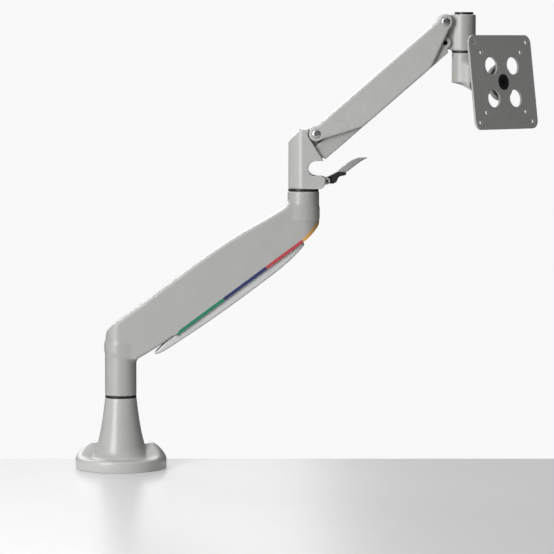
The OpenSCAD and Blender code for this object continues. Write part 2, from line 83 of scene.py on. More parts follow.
ELBOW = joint_at("elbow_swivel")
REAR_UP = joint_at("arm_lift")
REAR_LOW = joint_at("link_swing")
FRONT_UP = joint_at("front_level")
FLAP = joint_at("flap_swing")
PAN = joint_at("head_pan")
TILT = joint_at("head_tilt")
PLATE = joint_at("plate_turn")
REACH = ELBOW[0]
ARM = FRONT_UP - REAR_UP
LINK_L = math.hypot(ARM[0], ARM[2])
LIFT = math.degrees(math.atan2(ARM[2], ARM[0]))
PIVOT_GAP = REAR_UP[2] - REAR_LOW[2]
FACING = PLATE - TILT
HEAD_YAW = math.degrees(math.atan2(FACING[1], FACING[0]))
HEAD_TILT = math.degrees(math.atan2(FACING[2], math.hypot(FACING[0], FACING[1])))
PLATE_X = np.linalg.norm(FACING)

SLEEVE_R = 20.0
CASTING_R = 19.3
WALL_OUT, WALL_IN = 19.3, 14.3  # the upper arm's side walls, either side of its middle
STRIP_T = 6.0  # the clamp's bent strip
DESK_EDGE = corners("clamp_bracket")[1][1] - STRIP_T
RING_LOW = corners("swivel_ring_lower")
RING_UP = corners("swivel_ring_upper")
ARM_BOTTOM = RING_LOW[1][2] + 0.1
ARM_TOP = RING_UP[0][2]

# Frames that some pieces are drawn in: x along the piece, z away from it
IN_ARM = Matrix.Translation(Vector(REAR_UP)) @ rot_y(-LIFT)
IN_LINK = Matrix.Translation(Vector(REAR_LOW)) @ rot_y(-LIFT)
IN_FLAP = Matrix.Translation(Vector(FLAP))
IN_HEAD = Matrix.Translation(Vector((PAN[0], 0, 0))) @ rot_z(HEAD_YAW)
IN_TILT = Matrix.Translation(Vector(TILT)) @ rot_z(HEAD_YAW) @ rot_y(-HEAD_TILT)

# ------------------------------------------------------------------ curves


def cubic(a, b, c, d, n=8):
    """Points of the cubic curve a b c d, without its first one."""
    t = np.linspace(0, 1, n + 1)[1:, None]
    a, b, c, d = (np.array(p, float) for p in (a, b, c, d))
    return list((1 - t) ** 3 * a + 3 * (1 - t) ** 2 * t * b + 3 * (1 - t) * t ** 2 * c + t ** 3 * d)


def path(*parts):
    """Joins points and lists of points into one array."""
    points = []
    for part in parts:
        if np.ndim(part) == 1:
            points.append(np.array(part, float))
        else:
            points.extend(np.array(p, float) for p in part)
    return np.array(points)


def arc(centre, r, a0, a1, n=10):
    """Points of an arc, from one angle in degrees to another."""
    angles = np.radians(np.linspace(a0, a1, n + 1))
    return [np.array([centre[0] + r * math.cos(a), centre[1] + r * math.sin(a)]) for a in angles]


# ------------------------------------------------------------------ distance fields


class Grid:
    """Sample points of a box in mm, as three arrays that broadcast together."""

    def __init__(self, low, high, step):
        self.step = step
        self.low = np.array(low, float) - 3 * step
        self.count = np.ceil((np.array(high, float) + 3 * step - self.low) / step).astype(int) + 1
        self.x = (self.low[0] + step * np.arange(self.count[0]))[:, None, None]
        self.y = (self.low[1] + step * np.arange(self.count[1]))[None, :, None]
        self.z = (self.low[2] + step * np.arange(self.count[2]))[None, None, :]


def outline(points, u, v):
    """Signed distance to a closed outline in the plane of u and v."""
    shape = np.broadcast(u, v).shape
    best = np.full(shape, np.inf)
    inside = np.zeros(shape, bool)
    for a, b in zip(points, np.roll(points, -1, axis=0)):
        edge = b - a
        du, dv = u - a[0], v - a[1]
        t = np.clip((du * edge[0] + dv * edge[1]) / max(edge @ edge, 1e-9), 0, 1)
        best = np.minimum(best, (du - t * edge[0]) ** 2 + (dv - t * edge[1]) ** 2)
        if a[1] != b[1]:
            crosses = ((a[1] > v) != (b[1] > v)) & (u < edge[0] * (v - a[1]) / edge[1] + a[0])
            inside ^= crosses
    return np.where(inside, -1.0, 1.0) * np.sqrt(best)


def round_and(a, b, r):
    """Where two solids overlap, with edges rounded to radius r."""
    return np.minimum(np.maximum(a, b), -r) + np.hypot(np.maximum(a + r, 0), np.maximum(b + r, 0))


def round_or(a, b, r):
    """Two solids joined by a fillet of radius r."""
    return -round_and(-a, -b, r)


def cut(a, b, r):
    """Solid a without solid b, with edges rounded to radius r."""
    return round_and(a, -b, r)


def between(v, low, high):
    return np.abs(v - (low + high) / 2) - (high - low) / 2


def rod_z(g, x, y, r):
    return np.hypot(g.x - x, g.y - y) - r


def rod_y(g, x, z, r):
    return np.hypot(g.x - x, g.z - z) - r


def rod_x(g, y, z, r):
    return np.hypot(g.y - y, g.z - z) - r


def stadium(g, x0, x1, r):
    """Vertical wall round the line from x0 to x1."""
    return np.hypot(g.x - np.clip(g.x, x0, x1), g.y) - r


# ------------------------------------------------------------------ meshes


def towards(centre, direction):
    """The frame at centre whose Z axis points in a direction."""
    turn = Vector(direction).to_track_quat("Z", "Y").to_matrix().to_4x4()
    return Matrix.Translation(Vector(centre)) @ turn


def new_object(name, points, faces, place=None):
    """A mesh object from points in mm."""
    mesh = bpy.data.meshes.new(name)
    points = np.asarray(points, float)
    if place is not None:
        turn = np.array(place)
        points = points @ turn[:3, :3].T + turn[:3, 3]
    mesh.from_pydata((points * MM).tolist(), [], [list(map(int, f)) for f in faces])
    mesh.update()
    obj = bpy.data.objects.new(name, mesh)
    bpy.context.scene.collection.objects.link(obj)
    for polygon in mesh.polygons:
        polygon.use_smooth = True
    return obj


def sample(field, at):
    """The field's value at points given in steps, by linear steps between samples."""
    base = np.clip(np.floor(at).astype(int), 0, np.array(field.shape) - 2)
    t = at - base
    value = np.zeros(len(at))
    for corner in range(8):
        offset = np.array([corner & 1, corner >> 1 & 1, corner >> 2 & 1])
        weight = np.prod(np.where(offset, t, 1 - t), axis=1)
        i = base + offset
        value += weight * field[i[:, 0], i[:, 1], i[:, 2]]
    return value


def solid(name, g, field, place=None):
    """Meshes a distance field and takes its normals from the field's slope."""
    field = np.broadcast_to(field, g.count).astype(np.float32)
    band = 3 * g.step
    volume = vdb.FloatGrid(band)
    volume.copyFromArray(np.ascontiguousarray(np.clip(field, -band, band)))
    points, triangles, quads = volume.convertToPolygons(isovalue=0.0, adaptivity=0.0)
    at = np.asarray(points, float)
    slope = np.stack([sample(part, at) for part in np.gradient(field)], axis=1)
    slope /= np.maximum(np.linalg.norm(slope, axis=1, keepdims=True), 1e-9)
    at -= slope * (sample(field, at) / g.step)[:, None]
    faces = triangles.tolist() + quads.tolist()
    obj = new_object(name, g.low + at * g.step, faces, place)
    turn = np.eye(3) if place is None else np.array(place)[:3, :3]
    obj.data.normals_split_custom_set_from_vertices((slope @ turn.T).tolist())
    return obj


def smooth_by_angle(obj, degrees=35):
    """Smooth shading that keeps the sharper edges."""
    obj.data.set_sharp_from_angle(angle=math.radians(degrees))
    return obj


def tidy_normals(obj, weld=0.0):
    """Joins points closer than weld, in metres, and turns all faces outwards."""
    work = bmesh.new()
    work.from_mesh(obj.data)
    if weld:
        bmesh.ops.remove_doubles(work, verts=work.verts, dist=weld)
    bmesh.ops.recalc_face_normals(work, faces=work.faces)
    work.to_mesh(obj.data)
    work.free()


def lathe(name, section, centre=(0, 0, 0), steps=96, place=None, closed=False):
    """A section of (radius, height) points turned round the Z axis through centre."""
    section = np.asarray(section, float)
    n = len(section)
    points = []
    for k in range(steps):
        a = 2 * math.pi * k / steps
        for r, h in section:
            points.append((centre[0] + r * math.cos(a), centre[1] + r * math.sin(a), centre[2] + h))
    faces = []
    for k in range(steps):
        here, there = k * n, (k + 1) % steps * n
        for i in range(n if closed else n - 1):
            j = (i + 1) % n
            faces.append((here + i, there + i, there + j, here + j))
    obj = new_object(name, points, faces, place)
    tidy_normals(obj, weld=1e-6)
    return smooth_by_angle(obj)


def joined(name, *objects):
    """One object from several."""
    bpy.ops.object.select_all(action="DESELECT")
    for obj in objects:
        obj.select_set(True)
    bpy.context.view_layer.objects.active = objects[0]
    bpy.ops.object.join()
    objects[0].name = name
    return objects[0]


# ------------------------------------------------------------------ materials


def material(name, colour, roughness, metallic=0.0, **detail):
    """A procedural finish.

    detail: mottle, mottle_scale, grain (bump), grain_scale in 1/m, wear, worn, smudge, coat,
    specular, brushed.
    """
    mat = bpy.data.materials.new(name)
    mat.use_nodes = True
    tree = mat.node_tree
    nodes, links = tree.nodes, tree.links
    shader = nodes["Principled BSDF"]
    shader.inputs["Metallic"].default_value = metallic
    shader.inputs["Coat Weight"].default_value = detail.get("coat", 0.0)
    shader.inputs["Coat Roughness"].default_value = 0.25
    shader.inputs["Specular IOR Level"].default_value = detail.get("specular", 0.5)
    place = nodes.new("ShaderNodeTexCoord")

    def noise(scale, levels=3.0, stretch=None):
        node = nodes.new("ShaderNodeTexNoise")
        node.inputs["Scale"].default_value = scale
        node.inputs["Detail"].default_value = levels
        source = place.outputs["Object"]
        if stretch:
            mapping = nodes.new("ShaderNodeMapping")
            mapping.inputs["Scale"].default_value = stretch
            links.new(source, mapping.inputs["Vector"])
            source = mapping.outputs["Vector"]
        links.new(source, node.inputs["Vector"])
        return node.outputs["Fac"]

    def spread(value, low, high, from_low=0.3, from_high=0.7):
        node = nodes.new("ShaderNodeMapRange")
        node.inputs["From Min"].default_value = from_low
        node.inputs["From Max"].default_value = from_high
        node.inputs["To Min"].default_value = low
        node.inputs["To Max"].default_value = high
        links.new(value, node.inputs["Value"])
        return node.outputs["Result"]

    def mix(factor, a, b):
        node = nodes.new("ShaderNodeMix")
        node.data_type = "RGBA"
        links.new(factor, node.inputs["Factor"])
        for socket, value in ((node.inputs["A"], a), (node.inputs["B"], b)):
            if isinstance(value, tuple):
                socket.default_value = (*value, 1.0)
            else:
                links.new(value, socket)
        return node.outputs["Result"]

    mottle = detail.get("mottle", 0.03)
    dark = tuple(c * (1 - mottle) for c in colour)
    light = tuple(min(1.0, c * (1 + mottle)) for c in colour)
    tone = mix(spread(noise(detail.get("mottle_scale", 45.0), 4.0), 0, 1), dark, light)
    wear = detail.get("wear", 0.0)
    if wear:
        geometry = nodes.new("ShaderNodeNewGeometry")
        edge = spread(geometry.outputs["Pointiness"], 0, wear, 0.505, 0.56)
        broken = nodes.new("ShaderNodeMath")
        broken.operation = "MULTIPLY"
        links.new(edge, broken.inputs[0])
        links.new(spread(noise(260.0, 5.0), 0, 1, 0.4, 0.62), broken.inputs[1])
        tone = mix(broken.outputs["Value"], tone, detail.get("worn", (0.8, 0.8, 0.78)))
    links.new(tone, shader.inputs["Base Color"])
    smudge = detail.get("smudge", 0.05)
    stretch = detail.get("brushed")
    patches = noise(38.0 if not stretch else 220.0, 5.0, stretch)
    links.new(spread(patches, roughness - smudge, roughness + smudge), shader.inputs["Roughness"])
    grain = detail.get("grain", 0.0)
    if grain:
        bump = nodes.new("ShaderNodeBump")
        bump.inputs["Strength"].default_value = grain
        bump.inputs["Distance"].default_value = 0.0002
        links.new(noise(detail.get("grain_scale", 1400.0), 2.0, stretch), bump.inputs["Height"])
        links.new(bump.outputs["Normal"], shader.inputs["Normal"])
    return mat


GREY = (0.405, 0.405, 0.392)
FINISH = {
    "arm_paint": material("arm_paint", GREY, 0.36, mottle=0.02, grain=0.10, wear=0.25, coat=0.15),
    # a lighter copy of arm_paint: painted light on the elbow and upper arm
    "arm_paint_painted_light": material("arm_paint_painted_light", (0.45, 0.45, 0.437), 0.36, mottle=0.02, grain=0.10, wear=0.25,
                            coat=0.15),
    "column_paint": material("column_paint", (0.45, 0.45, 0.435), 0.33, mottle=0.02, grain=0.08,
                             wear=0.2, coat=0.2),
    "foot_plastic": material("foot_plastic", (0.50, 0.50, 0.49), 0.34, mottle=0.02, grain=0.14,
                             grain_scale=2200.0, wear=0.2, coat=0.2),
    "cover_plastic": material("cover_plastic", (0.56, 0.56, 0.56), 0.42, mottle=0.02, grain=0.22,
                              grain_scale=2600.0),
    "flap_plastic": material("flap_plastic", (0.30, 0.30, 0.295), 0.45, mottle=0.03, grain=0.2,
                             grain_scale=2600.0),
    "black_plastic": material("black_plastic", (0.012, 0.012, 0.013), 0.42, mottle=0.2, grain=0.2,
                              grain_scale=2400.0, smudge=0.08),
    "rubber": material("rubber", (0.014, 0.014, 0.015), 0.72, mottle=0.25, grain=0.35,
                       grain_scale=1800.0, specular=0.35),
    "steel": material("steel", (0.55, 0.55, 0.56), 0.28, 1.0, mottle=0.05, grain=0.12,
                      brushed=(1.0, 1.0, 14.0), smudge=0.08),
    "black_steel": material("black_steel", (0.025, 0.025, 0.027), 0.38, 0.6, mottle=0.06, grain=0.12,
                            wear=0.12, worn=(0.16, 0.16, 0.16)),
    "bracket_paint": material("bracket_paint", (0.28, 0.28, 0.275), 0.48, mottle=0.04, grain=0.3,
                              grain_scale=1300.0, wear=0.3, worn=(0.5, 0.5, 0.5)),
    "bush_plastic": material("bush_plastic", (0.62, 0.58, 0.48), 0.45, mottle=0.04, grain=0.1),
    "brass": material("brass", (0.62, 0.45, 0.18), 0.3, 1.0, mottle=0.06, grain=0.1,
                      brushed=(1.0, 1.0, 10.0)),
    "stripe_green": material("stripe_green", (0.012, 0.20, 0.105), 0.36, mottle=0.05, grain=0.1),
    "stripe_blue": material("stripe_blue", (0.020, 0.030, 0.125), 0.36, mottle=0.05, grain=0.1),
    "stripe_red": material("stripe_red", (0.46, 0.055, 0.07), 0.36, mottle=0.05, grain=0.1),
    "stripe_yellow": material("stripe_yellow", (0.66, 0.36, 0.10), 0.36, mottle=0.05, grain=0.1),
    "zinc": material("zinc", (0.40, 0.40, 0.39), 0.40, mottle=0.03, grain=0.14, wear=0.2),
}


def wears(obj, slot, finish=None):
    """Gives the object one finish: the given finish, else the slot's."""
    obj.data.materials.clear()
    obj.data.materials.append(FINISH[finish or slot])
    return obj


def piece(obj, body, slot, replaced=(), finish=None):
    """A finished piece: its finish, the CAD nodes that it stands for and the body that it rides on."""
    wears(obj, slot, finish)
    if replaced:
        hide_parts(*replaced)
    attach(obj, body)
    return obj


for entry in frame["record"]["subparts"]:
    node = frame["nodes"][entry["node"]]
    node.data.materials.clear()
    node.data.materials.append(FINISH[entry["material_slot"]])

# ------------------------------------------------------------------ foot and column

FOOT_R = corners("foot_cover")[1][0]
FOOT_TOP = corners("foot_cover")[1][2]
FOOT_H = corners("column_shell")[0][2]
COLUMN_H = corners("column_shell")[1][2]

bell = path([40, FOOT_H], cubic([40, FOOT_H], [31, FOOT_H + 4], [25, 42], [SLEEVE_R, COLUMN_H], 28))


def column():
    inner = [p - [4, 0] for p in bell[::-1] if p[1] < COLUMN_H - 9]
    section = path(bell[:-1], [SLEEVE_R, COLUMN_H - 0.6], [SLEEVE_R - 0.5, COLUMN_H],
                   [12.1, COLUMN_H], [12.1, COLUMN_H - 9], inner)
    piece(lathe("column_flare", section, steps=128, closed=True), "base", "column_paint",
          ["column_shell"])


def foot_section(rear):
    """Section of the foot, from its low front (0) to its raised rear (1)."""
    n = 12
    rim = path([FOOT_R - 4, 0.4], [FOOT_R - 4, 0], [FOOT_R - 1.2, 0], [FOOT_R - 0.3, 0.5],
               [FOOT_R, 1.6])
    front = path([FOOT_R, 10.5],
                 cubic([FOOT_R, 10.5], [FOOT_R, 13.6], [FOOT_R - 1.6, 14.8], [54.5, 14.8], n),
                 cubic([54.5, 14.8], [50, 14.7], [47, 13.9], [44, 14.0], n),
                 cubic([44, 14.0], [41.5, 14.1], [40, 15.0], [38.6, 16.8], n))
    crest = FOOT_TOP - 3.0
    back = path([FOOT_R, 10.5], cubic([FOOT_R, 10.5], [FOOT_R, 15], [54, 20.5], [49, 25.5], n),
                cubic([49, 25.5], [44, 30.5], [39, crest + 0.5], [35.5, crest], n),
                cubic([35.5, crest], [33, crest - 0.4], [31.0, crest - 1.4], [27.6, crest - 3.6], n))
    under = path([25.5, 26.0], [27.5, 20.0], [32.0, 13.6], [FOOT_R - 4, 13.6])
    low = path([36.0, 14.0], [35.5, 13.9], [35.0, 12.0], [FOOT_R - 4, 12.0])
    top = front * (1 - rear) + back * rear
    return path(rim, top, low * (1 - rear) + under * rear)


def foot():
    """The foot: its rear ridge fades into the low front over the sides."""
    steps = 160
    points, faces = [], []
    for k in range(steps):
        angle = 2 * math.pi * k / steps
        # 1 towards the desk's edge, 0 in front
        share = np.clip((math.sin(angle) + 0.66) / 0.80, 0, 1)
        section = foot_section(share * share * (3 - 2 * share))
        points += [(r * math.cos(angle), r * math.sin(angle), z) for r, z in section]
    n = len(section)
    for k in range(steps):
        here, there = k * n, (k + 1) % steps * n
        faces += [(here + i, there + i, there + (i + 1) % n, here + (i + 1) % n) for i in range(n)]
    obj = new_object("foot_moulding", points, faces)
    tidy_normals(obj)
    piece(smooth_by_angle(obj, 40), "base", "foot_plastic", ["foot_cover"])


def swivel_ring(name, box, x, body):
    """A black ring with a small groove round its edge."""
    low, high = box[0][2], box[1][2]
    r = (box[1][0] - box[0][0]) / 2
    mid = (low + high) / 2
    section = [(12.1, low), (r - 0.3, low), (r, low + 0.3), (r, mid - 0.5), (r - 0.35, mid - 0.25),
               (r - 0.35, mid + 0.25), (r, mid + 0.5), (r, high - 0.3), (r - 0.3, high), (12.1, high)]
    piece(lathe(name + "_disc", section, (x, 0, 0), closed=True), body, "black_plastic", [name])


column()
foot()
swivel_ring("swivel_ring_lower", RING_LOW, 0, "base")
swivel_ring("swivel_ring_upper", RING_UP, REACH, "lower_arm")

# ------------------------------------------------------------------ lower arm

STRIPE_H = 4.0
stripe_a = np.array([71, 171.7])
stripe_b = np.array([REACH + 4.1, 294.4])
stripe_len = np.linalg.norm(stripe_b - stripe_a)
stripe_dir = (stripe_b - stripe_a) / stripe_len
stripe_nrm = np.array([-stripe_dir[1], stripe_dir[0]])
nose_end = np.array([REACH + 18.6, 307.5])


def on_stripe(s, up=0.0):
    """The point a distance along the stripe's centre line, and up from it."""
    return stripe_a + s * stripe_dir + up * stripe_nrm


def lower_arm():
    g = Grid([-20, -20, ARM_BOTTOM], [REACH + 20, 20, ARM_TOP], 1.25)
    half = STRIPE_H / 2
    nose = cubic(on_stripe(stripe_len - 6, -half), on_stripe(stripe_len + 2, -half),
                 nose_end + [0, -1.5], [REACH + 20, 313], 8)
    arm = path([-20, 150], [SLEEVE_R, 139],
               cubic([SLEEVE_R, 139], [25, 143], [44, 152], on_stripe(-3, 0.5), 10),
               on_stripe(0, -half + 0.5), on_stripe(stripe_len - 6, -half), nose,
               [REACH + 20, 332], [REACH - 20, 337],
               cubic([REACH - 20, 337], [REACH - 21.5, 331.5], [190, 321], [160, 303.5], 10),
               cubic([160, 303.5], [135, 289.5], [105, 268], [84, 252.2], 8),
               [31.5, 212.7], cubic([31.5, 212.7], [10, 197], [2, 192], [-5, 186.5], 6),
               cubic([-5, 186.5], [-13, 180.5], [-20, 177], [-20, 162], 8))
    body = round_and(outline(arm, g.x, g.z), stadium(g, 0, REACH, SLEEVE_R), 3.0)
    low = round_and(rod_z(g, 0, 0, SLEEVE_R), between(g.z, ARM_BOTTOM, 160), 0.8)
    high = round_and(rod_z(g, REACH, 0, SLEEVE_R), between(g.z, 318, ARM_TOP), 0.8)
    field = round_or(round_or(body, low, 5.0), high, 5.0)
    field = np.maximum(field, between(g.z, ARM_BOTTOM, ARM_TOP))
    hollow = path(on_stripe(-16, -6), on_stripe(170, -6), on_stripe(168, 14), on_stripe(150, 38),
                  on_stripe(0, 44), on_stripe(-6, 14))
    field = cut(field, round_and(outline(hollow, g.x, g.z), between(g.y, -12.5, 12.5), 2.0), 1.0)
    field = cut(field, np.maximum(rod_z(g, 0, 0, 14.5), g.z - 172), 0.5)
    field = cut(field, np.maximum(rod_z(g, REACH, 0, 14.5), 316 - g.z), 0.5)
    piece(solid("lower_arm_casting", g, field), "lower_arm", "arm_paint", ["lower_arm_shell"])


def arm_cover():
    """The moulded cover under the arm, a slim crescent."""
    g = Grid([38, -17, 142], [244, 17, 296], 1.1)
    edge = path(on_stripe(-37, -4.2),
                cubic(on_stripe(-37, -4.2), [52, 146.5], [66, 157], [76, 163.5], 8),
                cubic([76, 163.5], [120, 192], [160, 222], [193, 247], 12),
                cubic([193, 247], [213, 262.4], [223, 272.6], [234, 285.4], 8),
                on_stripe(stripe_len - 8, -STRIPE_H / 2 - 0.3), on_stripe(stripe_len - 11, 0.5),
                on_stripe(-16, 0.5), on_stripe(-36, -2.6))
    field = round_and(outline(edge, g.x, g.z), between(g.y, -17.0, 17.0), 2.4)
    for s in (10, 80, 150):
        seat = on_stripe(s)
        along = (g.x - seat[0]) * stripe_dir[0] + (g.z - seat[1]) * stripe_dir[1]
        down = -((g.x - seat[0]) * stripe_nrm[0] + (g.z - seat[1]) * stripe_nrm[1])
        hole = np.maximum(np.hypot(along, g.y) - 4.2, 7.0 - down)
        field = cut(field, hole, 0.5)
    piece(solid("lower_arm_cover_moulding", g, field), "lower_arm", "cover_plastic",
          ["lower_arm_cover"])


def stripe_strip(name, lower, upper, node, slot):
    """A thin inlay between two rows of points in the XZ plane, on both sides and round the nose."""
    proud = 0.16
    r = SLEEVE_R + proud

    def side(x):
        past = max(0.0, min(x - REACH, r))
        return math.sqrt(max(r * r - past * past, 0.0))

    across = 5
    count = len(lower)
    points, faces = [], []
    for sign in (-1, 1):
        start = len(points)
        for a, b in zip(lower, upper):
            for k in range(across):
                p = a + (b - a) * k / (across - 1)
                points.append((p[0], sign * side(p[0]), p[1]))
        for i in range(count - 1):
            for k in range(across - 1):
                c = start + i * across + k
                faces.append((c, c + 1, c + across + 1, c + across))
    shift = count * across
    ring = [i * across for i in range(count)]
    ring += [(count - 1) * across + k for k in range(1, across)]
    ring += [i * across + across - 1 for i in range(count - 2, -1, -1)]
    ring += [k for k in range(across - 2, 0, -1)]
    for a, b in zip(ring, ring[1:] + ring[:1]):
        faces.append((a, b, b + shift, a + shift))
    obj = new_object(name, points, faces)
    tidy_normals(obj)
    piece(smooth_by_angle(obj), "lower_arm", slot, [node])


def stripes():
    half = STRIPE_H / 2
    ends = [0, 76, 142.5, stripe_len - 6]
    gap = 0.15
    for k, colour in enumerate(("green", "blue", "red")):
        s0, s1 = ends[k] + gap, ends[k + 1] - gap
        slant = 7.0 if k == 0 else 0.0
        along = np.linspace(0, 1, 12)
        lower = [on_stripe(s0 + (s1 - s0) * t, -half + 0.25) for t in along]
        upper = [on_stripe(s0 + slant + (s1 - s0 - slant) * t, half) for t in along]
        stripe_strip("stripe_inlay_" + colour, lower, upper, "stripe_" + colour, "stripe_" + colour)
    lower = path(on_stripe(stripe_len - 6 + gap, -half + 0.25),
                 cubic(on_stripe(stripe_len - 6, -half + 0.25), on_stripe(stripe_len + 2, -half + 0.25),
                       nose_end + [0, -1.2], [REACH + 20.1, 312.6], 16))
    upper = path(on_stripe(stripe_len - 6 + gap, half),
                 cubic(on_stripe(stripe_len - 6, half), on_stripe(stripe_len, half),
                       nose_end + [-5, 1.5], [REACH + 20.1, 317.4], 16))
    stripe_strip("stripe_inlay_yellow", lower, upper, "stripe_yellow", "stripe_yellow")


lower_arm()
arm_cover()
stripes()

# ------------------------------------------------------------------ screws and pins


def screw_head(name, centre, normal, r, height, body, replaced=(), socket=0.5, slot="steel"):
    """A low domed head with a hexagon socket, its flat back at centre."""
    rings = [(r, 0.0)] + [(r * math.cos(a), 0.35 * height + 0.65 * height * math.sin(a))
                          for a in np.linspace(0.0, 1.05, 8)]
    steps = 48
    points, faces = [], []

    def hexagon(a, size):
        return size / math.cos((a + math.pi / 6) % (math.pi / 3) - math.pi / 6)

    mouth = rings[-1][1]
    rows = [(rr, zz, False) for rr, zz in rings]
    rows += [(socket * r, z, True) for z in (mouth, mouth - 0.6 * height)]
    for rr, zz, six in rows:
        for k in range(steps):
            a = 2 * math.pi * k / steps
            radius = hexagon(a, rr * 0.9) if six else rr
            points.append((radius * math.cos(a), radius * math.sin(a), zz))
    for i in range(len(rows) - 1):
        for k in range(steps):
            j = (k + 1) % steps
            faces.append((i * steps + k, i * steps + j, (i + 1) * steps + j, (i + 1) * steps + k))
    faces.append(tuple(range((len(rows) - 1) * steps, len(rows) * steps)))
    faces.append(tuple(range(steps))[::-1])
    obj = new_object(name, points, faces, towards(centre, normal))
    smooth_by_angle(obj, 40)
    if body:
        piece(obj, body, slot, replaced)
    return obj


def shank(name, centre, axis, r, length, chamfer=0.4):
    """A plain round bar with chamfered ends, centred on a point."""
    section = [(0, -length / 2), (r - chamfer, -length / 2), (r, chamfer - length / 2),
               (r, length / 2 - chamfer), (r - chamfer, length / 2), (0, length / 2)]
    return lathe(name, section, steps=40, place=towards(centre, axis))


def pivot_pin(node, at, body):
    """A pivot pin through the arm with a socket head on each side."""
    high = corners(node)[1]
    back = 19.5
    parts = [shank(node + "_shank", at, (0, 1, 0), 3.0, 2 * back)]
    for side in (-1, 1):
        parts.append(screw_head(node + "_head", (at[0], side * back, at[2]), (0, side, 0), 5.0,
                                high[1] - back, None))
    piece(joined(node + "_turned", *parts), body, "steel", [node])


pivot_pin("rear_upper_pin", REAR_UP, "elbow")
pivot_pin("front_upper_pin", FRONT_UP, "front_yoke")

# ------------------------------------------------------------------ elbow


def elbow():
    """The elbow: round back, cheeks at the pivots, a notch for cables and a tab for the flap."""
    bottom = ARM_TOP + 3.0
    left = REACH - CASTING_R
    pu = np.array([REAR_UP[0], REAR_UP[2]])
    g = Grid([left, -CASTING_R, bottom], [FLAP[0] + 5, CASTING_R, 432], 0.85)
    side = path([left, bottom], [left, 414],
                cubic([left, 414], [left + 0.5, 418], [left + 15, 431], [REACH - 1, 431.5], 10),
                [pu[0] - 8.9, 431.5], [pu[0] - 10.4, 425.7], arc(pu, 10.4, 184, 220, 5),
                [pu[0] + 9.3, 391.5], [REACH + 15.5, 391.5],
                arc((REACH + 15.5, 382.0), 9.4, 92, 268, 14),
                [REACH + 24, 371.6], [FLAP[0] - 2, 370.4], [FLAP[0] - 2, FLAP[2] - 4.6],
                [REACH + 24.5, bottom + 1.5], [REACH + 21.0, bottom])
    plan = np.where(g.x < REACH, rod_z(g, REACH, 0, CASTING_R), np.abs(g.y) - CASTING_R)
    quarter = ((REACH - g.x) + np.abs(g.y)) * math.sqrt(0.5) - 17.7
    plan = round_and(plan, quarter, 3.0)
    field = round_and(outline(side, g.x, g.z), plan, 1.0)
    slot = np.maximum(between(g.y, -14, 14), between(g.z, 396, 425))
    slot = np.maximum(slot, between(g.x, REACH - 6, REACH + 8))
    gape = np.maximum(np.maximum(between(g.y, -14, 14), REACH + 7.5 - g.x), between(g.z, 388, 440))
    field = cut(cut(field, slot, 0.8), gape, 0.8)
    ear = path([pu[0] - 14, 419], [pu[0] - 4, 417.8], arc(pu, 8.5, -80, 130, 12), [pu[0] - 14, 431])
    field = np.minimum(field, round_and(outline(ear, g.x, g.z), between(np.abs(g.y), 9.6, 13.9), 0.8))
    knuckle = np.maximum(rod_y(g, FLAP[0], FLAP[2], 4.4), between(np.abs(g.y), 7.3, 12))
    neck = np.maximum(between(g.x, FLAP[0] - 4, FLAP[0]), between(g.z, FLAP[2] - 4.3, FLAP[2] + 4.3))
    neck = np.maximum(neck, between(np.abs(g.y), 7.3, 12))
    field = np.minimum(field, np.minimum(knuckle, neck))
    room = np.maximum(between(g.x, FLAP[0] - 5.5, FLAP[0] + 8), between(g.y, -7.2, 7.2))
    field = cut(field, np.maximum(room, g.z - 372.5), 0.6)
    field = cut(field, np.maximum(rod_z(g, REACH, 0, 5.3), 427 - g.z), 0.5)
    field = cut(field, np.maximum(rod_z(g, REACH, 0, 3.1), 395 - g.z), 0.3)
    # the elbow wears the lighter copy of arm_paint, painted light
    piece(solid("elbow_head", g, field), "elbow", "arm_paint", ["elbow_casting"],
          "arm_paint_painted_light")


def flap():
    """The grey leaf that keeps cables under the arm, on its black flexible root."""
    root = path([3, -3.2], [8, -3.6], [12.5, -1], cubic([12.5, -1], [13.6, 2], [14, 5], [17, 6.0], 5),
                cubic([17, 6.0], [20, 6.6], [22, 7], [24.3, 7.7], 4), [24.5, 10.6], [16, 10.9],
                cubic([16, 10.9], [13, 10.8], [10.5, 10], [8.5, 8.6], 4), [-1, 4.0])
    g = Grid([-5, -11, -5], [26, 11, 12], 0.6)
    width = np.where(g.x < 5.5, 7.0, np.minimum(7.0 + (g.x - 5.5) * 1.4, 11.0))
    body = round_and(outline(root, g.x, g.z), np.abs(g.y) - width, 1.2)
    barrel = round_and(rod_y(g, 0, 0, 4.2), np.abs(g.y) - 7.0, 0.5)
    piece(solid("flap_root_moulding", g, round_or(body, barrel, 1.5), IN_FLAP), "cable_flap",
          "rubber", ["flap_root"])
    g = Grid([11, -12, 8], [53, 12, 31], 0.6)
    leaf = path([11.8, 11.3], cubic([11.8, 11.3], [21, 18.5], [30, 28.0], [40, 29.2], 14),
                cubic([40, 29.2], [45, 29.7], [49, 29.3], [52.4, 29.3], 6),
                cubic([52.4, 29.3], [46, 27.6], [38, 21.5], [27, 12.8], 14), [24.4, 11.2])
    taper = 12.0 - 5.0 * np.clip((g.x - 24) / 28, 0, 1) ** 2
    field = round_and(outline(leaf, g.x, g.z), np.abs(g.y) - taper, 1.4)
    piece(solid("flap_leaf_moulding", g, field, IN_FLAP), "cable_flap", "cover_plastic",
          ["flap_leaf"], "flap_plastic")


elbow()
flap()

# ------------------------------------------------------------------ parallelogram arm


